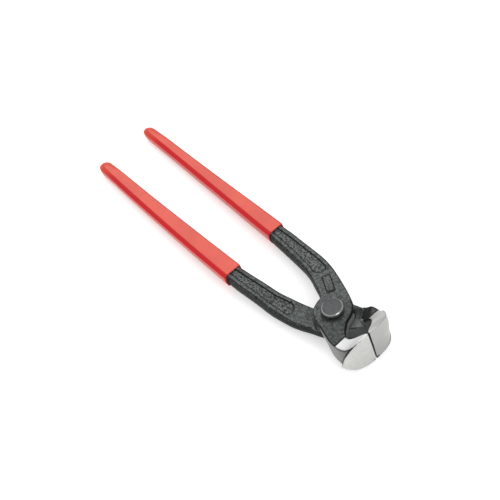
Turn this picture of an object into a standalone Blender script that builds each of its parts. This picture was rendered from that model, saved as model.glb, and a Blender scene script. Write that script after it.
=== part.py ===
"""Ear clamp pliers: two forged levers crossing in a lap joint, one rivet and two dipped grips.

The levers are the same forging, the lower one turned half a turn about the tool's long axis.
+X runs from the handles to the jaws, +Z along the rivet, and the origin is under the middle of
the closed tool. Each piece is drawn about the joint axis, at the height of the joint's middle
plane. The upper lever has its lap above that plane, its handle at +Y and its jaw at -Y.
"""

import math

import bmesh
import bpy
import numpy as np
from mathutils import Matrix

# Overall
TOTAL_LENGTH = 0.2170
JAW_REACH = 0.0296

# Jaws
JAW_WIDTH = 0.0224
JAW_BACK_WIDTH = 0.0150
JAW_SPREAD = 0.0312
JAW_EDGE_THICKNESS = 0.0016
JAW_SLIT = 0.0008
JAW_CORNER = 0.0005

# Lap joint
LAP_RADIUS = 0.0108
LAP_THICKNESS = 0.0063
LAP_GAP = 0.0003
LAP_CHAMFER = 0.0013
ARM_SHOULDER_GAP = 0.0005
ARM_SHOULDER_TO = math.radians(172)
JAW_SHOULDER_RADIUS = 0.0150
JAW_SHOULDER_FROM = math.radians(-58)
JAW_SHOULDER_TO = math.radians(-24)
JAW_SHOULDER_SLOPE = math.radians(-80)
LAP_ROOM_END = 0.0200
LAP_UNDERCUT = 0.0010
OPENING_LIMIT = math.radians(28)
NECK_SLOPE = math.radians(24)

# Handles: the black part in the open and the tang in the grip
ARM_SPREAD = 0.0414
ARM_WIDTH = 0.0080
ARM_THICKNESS = 0.0082
ARM_EDGE = 0.0018
TANG_END_WIDTH = 0.0054
TANG_END_THICKNESS = 0.0058
HANDLE_SPACING = 0.0332

# Dipped grips
GRIP_MOUTH_WIDTH = 0.0096
GRIP_MOUTH_THICKNESS = 0.0098
GRIP_END_WIDTH = 0.0072
GRIP_END_THICKNESS = 0.0076
GRIP_EDGE = 0.0025
GRIP_LIP = 0.0003
GRIP_GAP = 0.0003
GRIP_END_WALL = 0.0030
UPPER_GRIP_LENGTH = 0.1206
LOWER_GRIP_LENGTH = 0.1239

# Rivet
RIVET_RADIUS = 0.0040
RIVET_HOLE_GAP = 0.0003
RIVET_SEAT_GAP = 0.0003
RIVET_HEAD_RADIUS = 0.0059
RIVET_HEAD_HEIGHT = 0.0021
RIVET_FOOT_RADIUS = 0.0055
RIVET_FOOT_HEIGHT = 0.0012
RIVET_CHAMFER = 0.0006

# Cutters run past what they cut by this much
OVERRUN = 0.0300

# Fineness of the solids
BEND_STEPS = 2
STRAIGHT_STEPS = 1
CORNER_STEPS = 3
NOSE_STEPS = 3
GRIP_STEPS = 4
CAVITY_STEPS = 2
SHOULDER_STEPS = 10
RIVET_SIDES = 48
SHARP_ANGLE = math.radians(35)

# Finishes
BLACKED_COLOUR = (0.090, 0.098, 0.100)
BLACKED_ROUGHNESS = 0.45
BLACKED_METALLIC = 0.6
RIVET_COLOUR = (0.100, 0.105, 0.110)
RIVET_ROUGHNESS = 0.40
RIVET_METALLIC = 0.7
VINYL_COLOUR = (0.72, 0.035, 0.030)
VINYL_ROUGHNESS = 0.35
VINYL_METALLIC = 0.0

# Ribs of the bent stretch. Each has an outer point, on the handle's outside, then the lap's right
# and the pocket's side of the jaw, and an inner point, on the handle's inside, then the lap's left
# and the jaw's outside. The handle's are shares of the handle's reach and side, the lap's are
# shares of its radius, and the jaw's are shares of the jaw's reach and side.
ARM_OUTER_SHARES = [
    (-0.266, 1.010),
    (-0.213, 1.000),
    (-0.166, 0.971),
    (-0.125, 0.913),
    (-0.090, 0.836),
    (-0.059, 0.749),
    (-0.027, 0.652),
]
ARM_INNER_SHARES = [
    (-0.272, 0.590),
    (-0.225, 0.528),
    (-0.184, 0.462),
    (-0.149, 0.390),
    (-0.118, 0.305),
    (-0.093, 0.220),
    (-0.072, 0.125),
]
LAP_OUTER_SHARES = [
    (0.000, 1.102),
    (0.426, 0.905),
    (0.760, 0.650),
    (0.945, 0.333),
    (1.056, 0.009),
]
LAP_INNER_SHARES = [
    (-1.037, 0.056),
    (-0.975, -0.220),
    (-0.785, -0.620),
    (-0.507, -0.862),
    (-0.139, -0.990),
]
JAW_POCKET_SHARES = [
    (0.453, -0.160),
    (0.527, -0.325),
    (0.608, -0.445),
    (0.682, -0.515),
    (0.764, -0.480),
    (0.828, -0.350),
    (0.874, -0.208),
    (0.914, -0.085),
]
JAW_OUTSIDE_SHARES = [
    (0.122, -0.785),
    (0.304, -0.890),
    (0.473, -0.974),
    (0.642, -1.000),
    (0.770, -0.985),
    (0.878, -0.910),
    (0.944, -0.750),
    (0.980, -0.520),
]

# How far each rib has come, at the handle from the handle's height to the lap's, at the neck from
# the lap's to the jaw's back, and at the jaw from the back's width to the pressing edge's. Rise is
# the top's, and lift and drop are the underside's.
ARM_RISE_SHARES = [0.0, 0.0, 0.0, 0.05, 0.20, 0.50, 0.85]
ARM_LIFT_SHARES = [0.0, 0.0, 0.05, 0.18, 0.45, 0.80, 1.0]
NECK_RISE_SHARES = [0.20, 0.45, 0.80, 1.0, 1.0, 1.0, 1.0, 1.0]
POCKET_DROP_SHARES = [0.0, 0.38, 0.70, 0.90, 1.0, 1.0, 1.0, 1.0]
OUTSIDE_DROP_SHARES = [0.0, 0.0, 0.46, 0.69, 0.88, 0.95, 1.0, 1.0]
JAW_POCKET_HEIGHT_SHARES = [0.0, 0.0, 0.0, 0.16, 0.36, 0.55, 0.72, 0.86]
JAW_OUTSIDE_HEIGHT_SHARES = [0.0, 0.0, 0.0, 0.0, 0.13, 0.36, 0.64, 0.86]
TANG_RIB_SHARES = [0.25, 0.5, 0.75, 1.0]
NOSE_START_SHARE = 0.45

HANDLE_REACH = TOTAL_LENGTH - JAW_REACH
JAW_HALF = JAW_WIDTH / 2
JAW_BACK_HALF = JAW_BACK_WIDTH / 2
JAW_SIDE = JAW_SPREAD / 2
ARM_SIDE = ARM_SPREAD / 2
ARM_HALF = ARM_THICKNESS / 2
HANDLE_LINE = HANDLE_SPACING / 2
TANG_END = GRIP_END_WALL - HANDLE_REACH
TANG_ROOT = HANDLE_REACH * ARM_OUTER_SHARES[0][0] - ARM_WIDTH
LAP_UNDER = LAP_GAP / 2
LAP_TOP = LAP_UNDER + LAP_THICKNESS
LAP_STOCK = LAP_UNDER - LAP_UNDERCUT
ARM_SHOULDER_RADIUS = LAP_RADIUS + ARM_SHOULDER_GAP
RIVET_SEAT = LAP_TOP + RIVET_SEAT_GAP


def remove_scene_objects():
    for obj in list(bpy.data.objects):
        bpy.data.objects.remove(obj, do_unlink=True)


def principled(name, colour, roughness, metallic):
    material = bpy.data.materials.new(name)
    material.use_nodes = True
    shader = material.node_tree.nodes["Principled BSDF"]
    shader.inputs["Base Color"].default_value = (*colour, 1.0)
    shader.inputs["Roughness"].default_value = roughness
    shader.inputs["Metallic"].default_value = metallic
    return material


def blend(low, high, share):
    return low + (high - low) * share


def skin(rings):
    """A closed mesh with faces between neighbouring rings of points and a cap at each end."""
    shape = bmesh.new()
    rows = [[shape.verts.new(point) for point in ring] for ring in rings]
    for low, high in zip(rows, rows[1:]):
        for i in range(len(low)):
            j = (i + 1) % len(low)
            shape.faces.new((low[i], low[j], high[j], high[i]))
    shape.faces.new(rows[0])
    shape.faces.new(rows[-1])
    bmesh.ops.recalc_face_normals(shape, faces=shape.faces)
    mesh = bpy.data.meshes.new("skin")
    shape.to_mesh(mesh)
    shape.free()
    return mesh


def linked(name, mesh):
    obj = bpy.data.objects.new(name, mesh)
    bpy.context.scene.collection.objects.link(obj)
    return obj


def smooth_rows(ribs, steps):
    """A smooth curve through the ribs, each an array of numbers, with steps rows from each rib."""
    ribs = np.array(ribs)
    middles = (ribs[:, 0:2] + ribs[:, 2:4]) / 2
    spans = np.linalg.norm(np.diff(middles, axis=0), axis=1)
    slopes = np.diff(ribs, axis=0) / spans[:, None]
    tangents = [slopes[0]]
    for i in range(1, len(spans)):
        before, after = spans[i - 1], spans[i]
        tangents.append((slopes[i - 1] * after + slopes[i] * before) / (before + after))
    tangents.append(slopes[-1])
    rows = []
    for i, span in enumerate(spans):
        for step in range(steps[i]):
            t = step / steps[i]
            rows.append(
                (1 + 2 * t) * (1 - t) ** 2 * ribs[i]
                + t * (1 - t) ** 2 * span * tangents[i]
                + t**2 * (3 - 2 * t) * ribs[i + 1]
                + t**2 * (t - 1) * span * tangents[i + 1]
            )
    rows.append(ribs[-1])
    return rows


def rounded_section(outer, inner, tops, bottoms, edge):
    """Ring of points round an upright section from outer to inner, with rounded corners.

    tops and bottoms hold the heights at the outer and the inner point.
    """
    across = np.subtract(inner, outer)
    width = np.linalg.norm(across)
    across = across / width
    turns = []
    for along, inward, height, down in (
        (0.0, 1, tops[0], -1),
        (width, -1, tops[1], -1),
        (width, -1, bottoms[1], 1),
        (0.0, 1, bottoms[0], 1),
    ):
        turn = []
        for step in range(CORNER_STEPS + 1):
            angle = math.pi / 2 * step / CORNER_STEPS
            side = along + inward * edge * (1 - math.cos(angle))
            x, y = np.array(outer) + across * side
            turn.append((x, y, height + down * edge * (1 - math.sin(angle))))
        turns.append(turn)
    return turns[0] + turns[1][::-1] + turns[2] + turns[3][::-1]


def straight_section(reach, half_width, half_height, edge):
    """A section square to the handle's straight line."""
    outer = (reach, HANDLE_LINE + half_width)
    inner = (reach, HANDLE_LINE - half_width)
    return rounded_section(outer, inner, [half_height] * 2, [-half_height] * 2, edge)


def tang_halves(reach):
    """Half width and half height of the straight tang, which tapers evenly to its end."""
    share = (reach - TANG_END) / (TANG_ROOT - TANG_END)
    half_width = blend(TANG_END_WIDTH, ARM_WIDTH, share) / 2
    half_height = blend(TANG_END_THICKNESS, ARM_THICKNESS, share) / 2
    return half_width, half_height


def rib(outer, inner, tops, bottoms, edge):
    return [*outer, *inner, *tops, *bottoms, edge]


def tang_ribs():
    ribs = []
    half_width, half_height = tang_halves(TANG_END)
    for step in range(NOSE_STEPS + 1):
        angle = math.pi / 2 * step / NOSE_STEPS
        reach = TANG_END + half_width * (1 - math.cos(angle))
        full = blend(NOSE_START_SHARE, 1.0, math.sin(angle))
        side, height = half_width * full, half_height * full
        outer, inner = (reach, HANDLE_LINE + side), (reach, HANDLE_LINE - side)
        ribs.append(rib(outer, inner, [height] * 2, [-height] * 2, ARM_EDGE * full))
    nose_end = TANG_END + half_width
    for share in TANG_RIB_SHARES:
        reach = blend(nose_end, TANG_ROOT, share)
        side, height = tang_halves(reach)
        outer, inner = (reach, HANDLE_LINE + side), (reach, HANDLE_LINE - side)
        ribs.append(rib(outer, inner, [height] * 2, [-height] * 2, ARM_EDGE))
    return ribs


def arm_ribs():
    ribs = []
    for outer, inner, rise, lift in zip(
        ARM_OUTER_SHARES, ARM_INNER_SHARES, ARM_RISE_SHARES, ARM_LIFT_SHARES
    ):
        top = blend(ARM_HALF, LAP_TOP, rise)
        bottom = blend(-ARM_HALF, LAP_STOCK, lift)
        edge = blend(ARM_EDGE, LAP_CHAMFER, rise)
        outer = (HANDLE_REACH * outer[0], ARM_SIDE * outer[1])
        inner = (HANDLE_REACH * inner[0], ARM_SIDE * inner[1])
        ribs.append(rib(outer, inner, [top] * 2, [bottom] * 2, edge))
    return ribs


def lap_ribs():
    ribs = []
    for outer, inner in zip(LAP_OUTER_SHARES, LAP_INNER_SHARES):
        outer = (LAP_RADIUS * outer[0], LAP_RADIUS * outer[1])
        inner = (LAP_RADIUS * inner[0], LAP_RADIUS * inner[1])
        ribs.append(rib(outer, inner, [LAP_TOP] * 2, [LAP_STOCK] * 2, LAP_CHAMFER))
    return ribs


def jaw_ribs():
    ribs = []
    growth = JAW_HALF - JAW_BACK_HALF
    for pocket, outside, pocket_height, outside_height, rise, *drops in zip(
        JAW_POCKET_SHARES,
        JAW_OUTSIDE_SHARES,
        JAW_POCKET_HEIGHT_SHARES,
        JAW_OUTSIDE_HEIGHT_SHARES,
        NECK_RISE_SHARES,
        POCKET_DROP_SHARES,
        OUTSIDE_DROP_SHARES,
    ):
        outer = (JAW_REACH * pocket[0], JAW_SIDE * pocket[1])
        inner = (JAW_REACH * outside[0], JAW_SIDE * outside[1])
        gains = [growth * pocket_height, growth * outside_height]
        tops = [blend(LAP_TOP, JAW_BACK_HALF, rise) + gain for gain in gains]
        backs = [blend(LAP_STOCK, -JAW_BACK_HALF, drop) for drop in drops]
        bottoms = [back - gain for back, gain in zip(backs, gains)]
        edge = blend(LAP_CHAMFER, JAW_CORNER, rise)
        ribs.append(rib(outer, inner, tops, bottoms, edge))
    slit_side = -JAW_SLIT / 2
    outer = (JAW_REACH - JAW_EDGE_THICKNESS, slit_side)
    inner = (JAW_REACH, slit_side)
    ribs.append(rib(outer, inner, [JAW_HALF] * 2, [-JAW_HALF] * 2, JAW_CORNER))
    return ribs


def on_circle(radius, angle):
    return radius * math.cos(angle), radius * math.sin(angle)


def arc(radius, start, end):
    steps = range(SHOULDER_STEPS + 1)
    return [on_circle(radius, blend(start, end, step / SHOULDER_STEPS)) for step in steps]


def stepped(point, angle, distance):
    return point[0] + distance * math.cos(angle), point[1] + distance * math.sin(angle)


def lap_room_outline():
    """Plan of the room under the upper lap, in which the lower lever's lap and neck turn."""
    jaw_side = arc(JAW_SHOULDER_RADIUS, JAW_SHOULDER_FROM, JAW_SHOULDER_TO)
    arm_line = NECK_SLOPE + OPENING_LIMIT
    arm_side = arc(ARM_SHOULDER_RADIUS, math.pi / 2 + arm_line, ARM_SHOULDER_TO)
    left = stepped(arm_side[-1], math.pi, OVERRUN)
    return [
        *jaw_side,
        (LAP_ROOM_END, jaw_side[-1][1]),
        (LAP_ROOM_END, OVERRUN),
        stepped(arm_side[0], arm_line, OVERRUN),
        *arm_side,
        left,
        (left[0], -OVERRUN),
        stepped(jaw_side[0], JAW_SHOULDER_SLOPE, OVERRUN),
    ]


def cutter(name, outline, bottom, top):
    obj = linked(name, skin([[(x, y, z) for x, y in outline] for z in (bottom, top)]))
    obj.hide_render = True
    obj.display_type = "WIRE"
    return obj


def cut_mesh(mesh, cutters):
    """The mesh less the cutters."""
    blank = linked("blank", mesh)
    for tool in cutters:
        modifier = blank.modifiers.new(tool.name, "BOOLEAN")
        modifier.operation = "DIFFERENCE"
        modifier.solver = "EXACT"
        modifier.object = tool
    graph = bpy.context.evaluated_depsgraph_get()
    result = bpy.data.meshes.new_from_object(blank.evaluated_get(graph))
    for used in (blank, *cutters):
        bpy.data.objects.remove(used, do_unlink=True)
    return result


def lever_mesh():
    """The forging as the upper lever, with room for the other lap and a hole for the rivet."""
    straight = tang_ribs()
    bent = arm_ribs() + lap_ribs() + jaw_ribs()
    steps = [STRAIGHT_STEPS] * len(straight) + [BEND_STEPS] * (len(bent) - 1)
    rings = []
    for row in smooth_rows(straight + bent, steps):
        rings.append(rounded_section(row[0:2], row[2:4], row[4:6], row[6:8], row[8]))
    hole = arc_circle(RIVET_RADIUS + RIVET_HOLE_GAP)
    cutters = [
        cutter("lap_room", lap_room_outline(), -OVERRUN, LAP_UNDER),
        cutter("rivet_hole", hole, -OVERRUN, OVERRUN),
    ]
    return cut_mesh(skin(rings), cutters)


def arc_circle(radius):
    return [on_circle(radius, 2 * math.pi * i / RIVET_SIDES) for i in range(RIVET_SIDES)]


def grip_mesh(length):
    """A dipped sleeve over the upper lever's tang, open at its mouth and round at its end."""
    mouth = length - HANDLE_REACH
    end = -HANDLE_REACH
    edge = ARM_EDGE + GRIP_GAP
    rings = []
    for step in range(CAVITY_STEPS + 1):
        reach = blend(TANG_END - GRIP_GAP, mouth, step / CAVITY_STEPS)
        half_width, half_height = tang_halves(reach)
        rings.append(
            straight_section(reach, half_width + GRIP_GAP, half_height + GRIP_GAP, edge)
        )
    nose = GRIP_END_WIDTH / 2
    taper_start = end + nose
    rings.append(grip_section(mouth, taper_start, mouth, 1.0, GRIP_LIP))
    for step in range(GRIP_STEPS + 1):
        reach = blend(mouth - GRIP_LIP, taper_start, step / GRIP_STEPS)
        rings.append(grip_section(reach, taper_start, mouth, 1.0, 0.0))
    for step in range(1, NOSE_STEPS + 2):
        angle = math.pi / 2 * step / (NOSE_STEPS + 1)
        reach = taper_start - nose * math.sin(angle)
        full = blend(NOSE_START_SHARE, 1.0, math.cos(angle))
        rings.append(grip_section(reach, taper_start, mouth, full, 0.0))
    return skin(rings)


def grip_section(reach, taper_start, mouth, full, inset):
    share = max(0.0, (reach - taper_start) / (mouth - taper_start))
    half_width = blend(GRIP_END_WIDTH, GRIP_MOUTH_WIDTH, share) / 2 * full - inset
    half_height = blend(GRIP_END_THICKNESS, GRIP_MOUTH_THICKNESS, share) / 2 * full - inset
    return straight_section(reach, half_width, half_height, GRIP_EDGE * full)


def rivet_mesh():
    """Head, shank and foot as one turned piece."""
    foot_bottom = -RIVET_SEAT - RIVET_FOOT_HEIGHT
    head_top = RIVET_SEAT + RIVET_HEAD_HEIGHT
    profile = [
        (RIVET_FOOT_RADIUS - RIVET_CHAMFER, foot_bottom),
        (RIVET_FOOT_RADIUS, foot_bottom + RIVET_CHAMFER),
        (RIVET_FOOT_RADIUS, -RIVET_SEAT),
        (RIVET_RADIUS, -RIVET_SEAT),
        (RIVET_RADIUS, RIVET_SEAT),
        (RIVET_HEAD_RADIUS, RIVET_SEAT),
        (RIVET_HEAD_RADIUS, head_top - RIVET_CHAMFER),
        (RIVET_HEAD_RADIUS - RIVET_CHAMFER, head_top),
    ]
    return skin([[(x, y, height) for x, y in arc_circle(radius)] for radius, height in profile])


def half_turn(mesh):
    """A copy turned half a turn about the tool's long axis."""
    turned = mesh.copy()
    turned.transform(Matrix.Rotation(math.pi, 4, "X"))
    return turned


def place(name, mesh, material, axis):
    """A named piece of the tool, smooth shaded, on the empty at the joint axis."""
    mesh.materials.clear()
    mesh.materials.append(material)
    mesh.shade_smooth()
    mesh.set_sharp_from_angle(angle=SHARP_ANGLE)
    obj = linked(name, mesh)
    obj.parent = axis
    return obj


def joint_axis(name):
    axis = bpy.data.objects.new(name, None)
    axis.location = (TOTAL_LENGTH / 2 - JAW_REACH, 0.0, JAW_HALF)
    bpy.context.scene.collection.objects.link(axis)
    return axis


def main():
    remove_scene_objects()
    blacked = principled(
        "blacked_steel", BLACKED_COLOUR, BLACKED_ROUGHNESS, BLACKED_METALLIC
    )
    rivet_steel = principled("rivet_steel", RIVET_COLOUR, RIVET_ROUGHNESS, RIVET_METALLIC)
    red_vinyl = principled("red_vinyl", VINYL_COLOUR, VINYL_ROUGHNESS, VINYL_METALLIC)
    fixed_axis = joint_axis("fixed_axis")
    turning_axis = joint_axis("turning_axis")
    lever = lever_mesh()
    place("lower_lever", half_turn(lever), blacked, turning_axis)
    place("upper_lever", lever, blacked, fixed_axis)
    place("pivot_rivet", rivet_mesh(), rivet_steel, fixed_axis)
    place("upper_grip", grip_mesh(UPPER_GRIP_LENGTH), red_vinyl, fixed_axis)
    place("lower_grip", half_turn(grip_mesh(LOWER_GRIP_LENGTH)), red_vinyl, turning_axis)


main()
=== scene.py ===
"""Looks of the ear clamp pliers: forged levers, rivet and dipped grips on a pale floor."""

import math

import bmesh
import bpy
import numpy as np
from mathutils import Matrix, Vector


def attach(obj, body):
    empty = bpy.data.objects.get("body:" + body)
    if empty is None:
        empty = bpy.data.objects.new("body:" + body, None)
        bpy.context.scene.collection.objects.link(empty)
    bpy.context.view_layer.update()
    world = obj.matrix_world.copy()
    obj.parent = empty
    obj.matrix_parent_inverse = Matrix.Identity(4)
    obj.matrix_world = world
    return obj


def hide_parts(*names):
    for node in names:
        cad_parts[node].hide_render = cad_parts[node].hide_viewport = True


MM = 0.001
PIVOT = Vector((0.0789, 0.0, 0.0112))

# The forging, in millimetres from the joint's axis and middle plane
TOTAL_LENGTH = 217.0
JAW_REACH = 29.6
JAW_HALF = 11.2
JAW_BACK_HALF = 7.5
JAW_SIDE = 15.6
JAW_EDGE_THICKNESS = 1.6
JAW_SLIT = 1.1
LAP_RADIUS = 10.8
LAP_UNDER = 0.15
LAP_TOP = 6.45
LAP_STOCK = -0.85
ARM_SHOULDER_RADIUS = 11.3
ARM_SHOULDER_TO = 172.0
JAW_SHOULDER_RADIUS = 15.0
JAW_SHOULDER_FROM = -58.0
JAW_SHOULDER_TO = -24.0
JAW_SHOULDER_SLOPE = -80.0
LAP_ROOM_END = 20.0
ARM_LINE = 52.0
OVERRUN = 30.0
ARC_STEPS = 40
CIRCLE_STEPS = 96
HOLE_RADIUS = 4.3
ARM_SIDE = 20.7
ARM_HALF = 4.1
ARM_WIDTH = 8.0
TANG_END_WIDTH = 3.4
TANG_END_THICKNESS = 5.8
HANDLE_LINE = 16.6
GRIP_END_WALL = 3.0
HANDLE_REACH = TOTAL_LENGTH - JAW_REACH
TANG_END = GRIP_END_WALL - HANDLE_REACH
TANG_ROOT = HANDLE_REACH * -0.266 - ARM_WIDTH

# Ends of the ribs, as shares of the reach and the side of the arm, the lap and the jaw
ARM_OUTER = [
    (-0.266, 1.010), (-0.213, 1.000), (-0.166, 0.971), (-0.125, 0.913),
    (-0.090, 0.836), (-0.059, 0.749), (-0.027, 0.652),
]
ARM_INNER = [
    (-0.272, 0.590), (-0.225, 0.528), (-0.184, 0.462), (-0.149, 0.390),
    (-0.118, 0.305), (-0.093, 0.220), (-0.072, 0.125),
]
LAP_OUTER = [(0.000, 1.102), (0.426, 0.905), (0.760, 0.650), (0.945, 0.333), (1.056, 0.009)]
LAP_INNER = [
    (-1.037, 0.056), (-0.975, -0.220), (-0.785, -0.620), (-0.507, -0.862), (-0.139, -0.990),
]
JAW_POCKET = [
    (0.453, -0.160), (0.527, -0.325), (0.608, -0.445), (0.682, -0.515),
    (0.764, -0.480), (0.828, -0.350), (0.874, -0.208), (0.914, -0.085),
]
JAW_OUTSIDE = [
    (0.122, -0.785), (0.304, -0.890), (0.473, -0.974), (0.642, -1.000),
    (0.770, -0.985), (0.878, -0.910), (0.944, -0.750), (0.980, -0.520),
]

# Heights of the ribs: shares of the way from the arm's faces to the lap's, from the lap's to the
# jaw's back, and from the jaw's back to its front
ARM_RISE = [0.0, 0.0, 0.0, 0.05, 0.20, 0.50, 0.85]
UPPER_LIFT = [0.0, 0.0, 0.0, 0.0, 0.0, 0.25, 0.75]
LOWER_LIFT = [0.0, 0.0, 0.1, 0.30, 0.61, 0.90, 1.22]
NECK_RISE = [0.20, 0.45, 0.80, 1.0, 1.0, 1.0, 1.0, 1.0]
POCKET_DROP = [0.0, 0.38, 0.70, 0.90, 1.0, 1.0, 1.0, 1.0]
OUTSIDE_DROP = [0.0, 0.15, 0.76, 0.90, 0.96, 0.98, 1.0, 1.0]
POCKET_HEIGHT = [0.0, 0.0, 0.0, 0.16, 0.36, 0.55, 0.72, 0.86]
OUTSIDE_HEIGHT = [0.0, 0.0, 0.0, 0.0, 0.13, 0.36, 0.64, 0.86]
LOWER_POCKET_RIM = [0.4, 0.8, 1.0, 1.0, 1.0, 1.0, 1.0, 1.0]

# How much wider each rib of the arm is in the photograph than in the plain forging
UPPER_OUTER_GAIN = [0.5, 0.1, 0.3, 0.65, 0.7, 0.5, 0.45, 0.4]
UPPER_INNER_GAIN = [1.2, 1.3, 0.7, 0.2, 0.3, 0.65, 0.65, 0.4]
LOWER_OUTER_GAIN = [1.5, 0.7, 0.1, 0.1, 0.2, 0.5, 0.5, 0.2]
LOWER_INNER_GAIN = [0.0, 0.3, 0.2, 0.0, 0.3, 0.3, 0.2, 0.0]

# The forging's finer shape, in millimetres
ARM_BEVEL = (1.2, 0.7)
LAP_BEVEL = (0.9, 0.7)
JAW_BEVEL = (0.5, 0.5)
BEVEL_FLATNESS = 0.4
ARM_CROWN = 0.45
LAP_CROWN = 0.30
JAW_CROWN = 0.10
CROWN_POWER = 1.5
ROW_STEP = 0.32
COARSE_STEPS = 2
FIRST_FINE_RIB = 5
TOP_COLUMNS = 64
SIDE_COLUMNS = 14
CORNER_COLUMNS = 7
PANEL_DEPTH = 0.60
PANEL_MARGIN = 1.05
PANEL_WALL = 0.55
PANEL_START = -78.0
PANEL_TOP_END = -24.5
PANEL_UNDER_END = -19.8
PAD_ALONG = (0.890, -0.456)
PAD_RANGE = (-25.2, -10.4)
PAD_SIDES = (-0.45, 4.75)
PAD_DEPTH = 0.32
PAD_WALL = 0.45
PAD_FADE = 4.0
PANEL_FLOOR = (0.5, 0.95)
# A band of painted shade along the edges of the neck's and jaw's sides
EDGE_SHADE_WIDTH = (0.7, 1.5)
EDGE_SHADE_START = 2.0

# What sets the lower lever apart, in millimetres: its arm lies lower beside the lap, a groove
# with walls painted near black, a painted shadow line, marks the lap's step, and its pocket leans
# open
LOWER_SET = 2.0
LOWER_SET_START = (-52.0, -27.0)
LOWER_SET_END = (-19.0, -1.0)
STEP_LINE = [(-15.4, 5.2), (-10.9, 7.2), (-6.0, 9.8), (-0.5, 12.7)]
STEP_LINE_WIDTH = 1.3
STEP_LINE_DEPTH = 1.1
POCKET_DRAFT = 3.2
POCKET_DRAFT_SHARE = 0.4
POCKET_DRAFT_HEIGHTS = (0.5, 6.5)
POCKET_DRAFT_START = (7.5, 11.0)
POCKET_DRAFT_END = (17.0, 23.0)

# Ground faces of the jaw, in millimetres: where they start, and how far they stand out
GROUND_TOP_START = 19.4
GROUND_SIDE_START = 24.3
GROUND_SIDE_SLANT = 0.46
GROUND_BULGE = 1.3
BULGE_START = (-0.2, 0.6)
BULGE_END = (0.5, 8.5)
BULGE_LEVELS = (-4.0, 6.0)
BULGE_FROM = 12.0

# Parts of the steel told apart by place, in millimetres, and by how level a normal is
# The pocket's walls are painted lighter as painted light; its rims and the slit darker as painted
# shade
POCKET_MIDDLE = 21.0
POCKET_RANGE = (9.0, 25.0)
POCKET_SIDE = 7.0
POCKET_LEVEL = 4.0
POCKET_SLOPE = 0.98
SLIT_START = 25.0
FLAT_SLOPE = 0.55
WALL_SLOPE = 0.6
RIM_SLOPE = 0.93
# Less painted hollow shade on the lower lever's lapped faces
LAPPED_RANGE = (5.0, 18.0)
LAPPED_SIDE = 5.5
LAPPED_SHADE = 0.3
# The jaw's underside and lowest strip of its sides stay dark skin, a painted contact shadow
UNDER_MARGIN = 0.6
UNDER_START = 15.0
BACK_MIDDLE = 20.0
BACK_START = (1.0, 5.0)
# Painted shadow of the rivet's head, and painted shade on the neck
SHADOW_REACH = (6.6, 9.2)
SHADOW_TURN = (0.2, 1.3)
SHADOW_FADE = (-1.6, 0.6)
NECK_SHADE = 0.42
NECK_SHADE_START = (-2.0, 7.0)
SHADOW_LEVEL = 5.0

# Distances written for skin that stays forged beside the ground faces; slit and pocket rims get
# painted shade, pocket walls painted light
SLIT_MARK = -0.4
RIM_MARK = -0.6
WALL_MARK = -2.0
UNDER_MARK = -3.0

# Dipped grips, in millimetres
GRIP_STATIONS = [-187.0, -150.0, -115.0, -85.0, -64.0]
STATION_EASE = 12.0
UPPER_GRIP_HALF = [3.2, 3.65, 4.3, 5.0, 5.3]
UPPER_GRIP_SHIFT = [0.8, 0.35, 0.0, -0.2, -0.3]
LOWER_GRIP_HALF = [3.6, 4.3, 5.0, 5.5, 5.8]
LOWER_GRIP_SHIFT = [-0.3, 0.8, 1.3, 1.5, 1.4]
GRIP_HALF_HEIGHTS = (3.8, 4.9)
GRIP_BEVEL = (2.6, 1.3)
GRIP_CROWN = 0.25
GRIP_END_NOSE = 6.5
UPPER_GRIP_EXTRA = 2.1
LOWER_GRIP_EXTRA = 1.5
GRIP_DRAFT = 0.15
GRIP_DRAFT_START = -1.5
GRIP_FAR_BEVEL = 0.4
FAR_BEVEL_START = (-185.0, -168.0)
# Painted shade: a deeper red along the grips' rounded near and far edges
GRIP_SHADE_START = (-185.0, -170.0)
GRIP_FAR_SHADE = 0.8
UPPER_GRIP_LENGTH = 120.6
LOWER_GRIP_LENGTH = 123.9
CAVITY_ROWS = 9
CAVITY_GAP = 0.3
CAVITY_BEVEL = [0.8, 0.7]
CAVITY_MOUTH = 0.4
GRIP_LIP = [(0.42, 0.06), (0.28, 0.0), (0.14, 0.03), (0.05, 0.12), (0.0, 0.3)]
GRIP_ROWS = 90
NOSE_ROWS = 14
NOSE_POWER = 0.85
NOSE_LEAST = 0.12
FULLEST_BEVEL = 0.98
GRIP_RING = (10, 12, 8)
GRIP_FLATNESS = 0.7

# Rivet, in millimetres: radius and height from the joint's middle plane
RIVET_PROFILE = [
    (4.75, -7.95), (4.95, -7.92), (5.45, -7.45), (5.50, -7.30), (5.50, -6.80), (5.45, -6.75),
    (4.0, -6.75), (4.0, 6.75), (5.85, 6.75), (5.90, 6.80), (5.90, 8.15), (5.88, 8.28),
    (5.80, 8.38), (5.42, 8.76), (5.32, 8.83), (5.20, 8.85), (4.86, 8.85), (4.78, 8.83),
    (4.70, 8.76), (4.60, 8.74), (3.0, 8.70), (1.5, 8.68),
]
RIVET_RIM_RADIUS = (5.2, 5.4)
RIVET_RIM_HEIGHT = (7.9, 8.2)

# The picture: lights and camera in metres, colours and strengths as Blender takes them
SHARP_ANGLE = math.radians(40)
JAW_REST_X = 0.1080
TIP_REST = (-0.1050, 0.0071)
FLOOR_HALF = 3.0
FLOOR_GAP = 0.0001
FLOOR_COLOUR = (0.82, 0.82, 0.82, 1.0)
FLOOR_GLOW = 0.42
WHITE = (1.0, 1.0, 1.0, 1.0)
WORLD_STRENGTH = 0.8
LIGHTS = [
    ("softbox", (-0.76, 0.36, 1.07), 1.1, 7.2),
    ("fill", (0.95, 0.05, 0.72), 0.5, 2.0),
]
CAMERA_RIGHT = Vector((0.6280, 0.7421, -0.2344))
CAMERA_TOWARD = Vector((0.5966, -0.2658, 0.7572))
CAMERA_FROM_PIVOT = Vector((0.5240, -0.2654, 0.75455))
CAMERA_LENS = 131.17


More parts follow.
